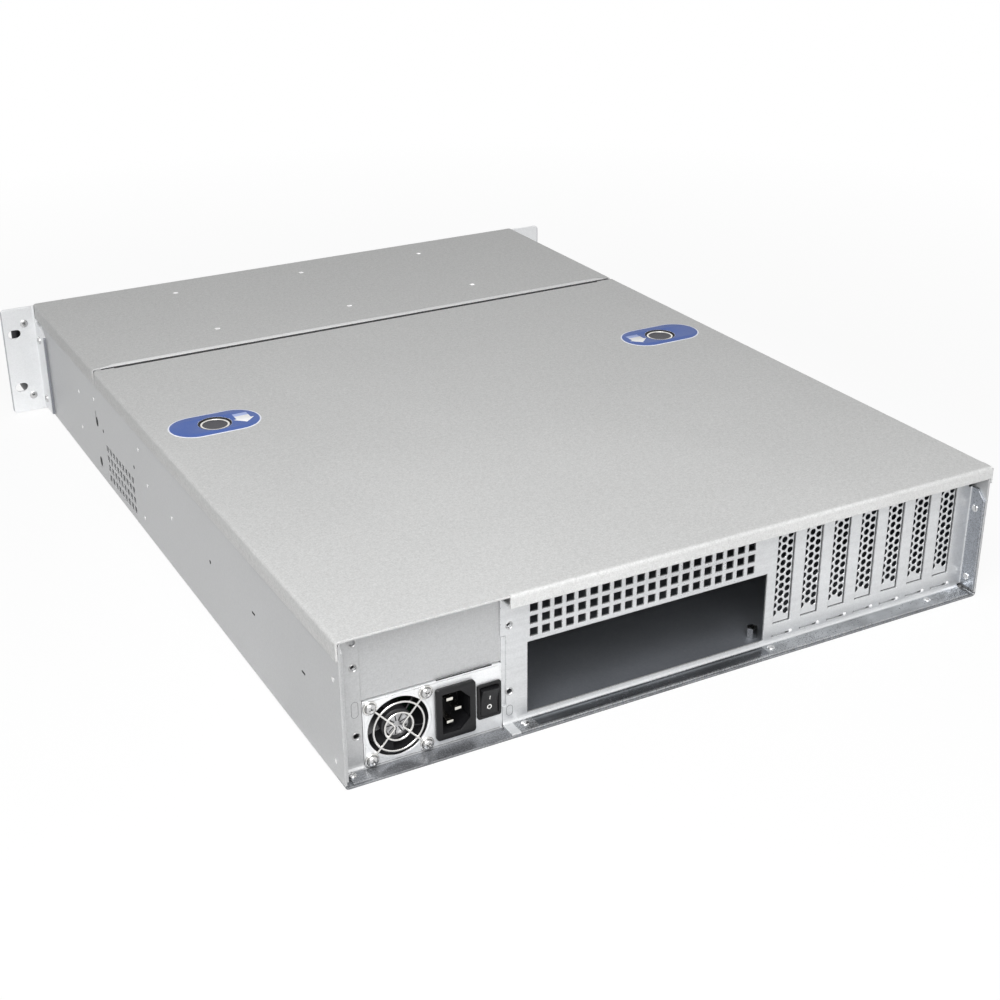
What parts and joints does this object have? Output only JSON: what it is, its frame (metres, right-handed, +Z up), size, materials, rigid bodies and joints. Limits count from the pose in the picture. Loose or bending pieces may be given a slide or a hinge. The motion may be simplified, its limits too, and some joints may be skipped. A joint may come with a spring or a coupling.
{
  "type": "empty rackmount server case",
  "caption": "Low rackmount computer case in folded sheet steel with a sliding lid, bow handles, perforated rear panel and a built-in power supply.",
  "frame": {"origin": "middle of the tray's underside", "axes": "+Y to the rear with the connectors, +Z up, +X to the side that holds the power supply"},
  "size_m": [0.4826, 0.638, 0.0887],
  "materials": {
    "tray_steel": "galvanised, satin",
    "lid_steel": "galvanised, satin",
    "rear_steel": "galvanised, bright",
    "blank_steel": "galvanised, satin",
    "supply_steel": "plated, satin",
    "ear_steel": "plated, satin",
    "handle_metal": "polished",
    "screw_steel": "plated",
    "rivet_steel": "bright",
    "guard_wire": "plated",
    "label_blue": "printed film",
    "cup_steel": "satin",
    "latch_black": "moulded",
    "panel_paint": "fine powder coat",
    "button_plastic": "smooth",
    "lamp_plastic": "translucent",
    "board_green": "lacquered board",
    "board_parts": "mixed",
    "fan_plastic": "moulded",
    "inlet_black": "moulded",
    "rocker_black": "smooth",
    "pin_metal": "nickel plated"
  },
  "bodies": {
    "case": {"base_tray": "tray_steel", "bay_divider_1": "tray_steel", "bay_divider_2": "tray_steel", "bay_divider_3": "tray_steel", "blank_plate": "blank_steel", "board_standoffs": "screw_steel", "control_board": "board_green", "cover_rivets": "rivet_steel", "ear_left": "ear_steel", "ear_right": "ear_steel", "ear_screws": "screw_steel", "fan_frame_1": "fan_plastic", "fan_frame_2": "fan_plastic", "fan_frame_3": "fan_plastic", "fan_frame_4": "fan_plastic", "fan_guard": "guard_wire", "fan_wall": "tray_steel", "front_cover": "lid_steel", "front_panel": "panel_paint", "guard_screws": "screw_steel", "handle_left": "handle_metal", "handle_right": "handle_metal", "handle_screws": "screw_steel", "inlet_pins": "pin_metal", "inlet_socket": "inlet_black", "psu_board": "board_green", "psu_board_posts": "board_parts", "psu_bracket": "tray_steel", "psu_components": "board_parts", "psu_cover": "supply_steel", "psu_fan_frame": "fan_plastic", "psu_tray": "supply_steel", "rear_panel": "rear_steel", "rear_rivets": "rivet_steel", "slot_cover_1": "rear_steel", "slot_cover_2": "rear_steel", "slot_cover_3": "rear_steel", "slot_cover_4": "rear_steel", "slot_cover_5": "rear_steel", "slot_cover_6": "rear_steel", "slot_cover_7": "rear_steel", "slot_screws": "screw_steel", "status_lamps": "lamp_plastic", "switch_frame": "inlet_black"},
    "lid": {"lid": "lid_steel", "release_label_left": "label_blue", "release_label_right": "label_blue", "latch_cup_left": "cup_steel", "latch_cup_right": "cup_steel"},
    "latch_button_left": {"latch_button_left": "latch_black"},
    "latch_button_right": {"latch_button_right": "latch_black"},
    "power_button": {"power_button": "button_plastic"},
    "reset_button": {"reset_button": "button_plastic"},
    "switch_rocker": {"switch_rocker": "rocker_black"},
    "psu_fan_rotor": {"psu_fan_rotor": "fan_plastic"},
    "fan_rotor_1": {"fan_rotor_1": "fan_plastic"},
    "fan_rotor_2": {"fan_rotor_2": "fan_plastic"},
    "fan_rotor_3": {"fan_rotor_3": "fan_plastic"},
    "fan_rotor_4": {"fan_rotor_4": "fan_plastic"}
  },
  "joints": [
    {"name": "lid_slide", "type": "slide", "parent": "case", "child": "lid", "axis": [0, 1, 0], "range_m": [0, 0.02]},
    {"name": "latch_press_left", "type": "slide", "parent": "lid", "child": "latch_button_left", "axis": [0, 0, -1], "range_m": [0, 0.003], "stiffness_N_per_m": 800},
    {"name": "latch_press_right", "type": "slide", "parent": "lid", "child": "latch_button_right", "axis": [0, 0, -1], "range_m": [0, 0.003], "stiffness_N_per_m": 800},
    {"name": "power_press", "type": "slide", "parent": "case", "child": "power_button", "axis": [0, 1, 0], "range_m": [0, 0.0015], "stiffness_N_per_m": 600},
    {"name": "reset_press", "type": "slide", "parent": "case", "child": "reset_button", "axis": [0, 1, 0], "range_m": [0, 0.0015], "stiffness_N_per_m": 600},
    {"name": "rocker_tilt", "type": "hinge", "parent": "case", "child": "switch_rocker", "pos_m": [0.1241, 0.2864, 0.02145], "axis": [1, 0, 0], "range_deg": [0, 16]},
    {"name": "psu_fan_spin", "type": "hinge", "parent": "case", "child": "psu_fan_rotor", "pos_m": [0.1774, 0.2776, 0.02145], "axis": [0, 1, 0], "continuous": true},
    {"name": "fan_spin_1", "type": "hinge", "parent": "case", "child": "fan_rotor_1", "pos_m": [-0.162, -0.0338, 0.0427], "axis": [0, 1, 0], "continuous": true},
    {"name": "fan_spin_2", "type": "hinge", "parent": "case", "child": "fan_rotor_2", "pos_m": [-0.054, -0.0338, 0.0427], "axis": [0, 1, 0], "continuous": true},
    {"name": "fan_spin_3", "type": "hinge", "parent": "case", "child": "fan_rotor_3", "pos_m": [0.054, -0.0338, 0.0427], "axis": [0, 1, 0], "continuous": true},
    {"name": "fan_spin_4", "type": "hinge", "parent": "case", "child": "fan_rotor_4", "pos_m": [0.162, -0.0338, 0.0427], "axis": [0, 1, 0], "continuous": true}
  ]
}
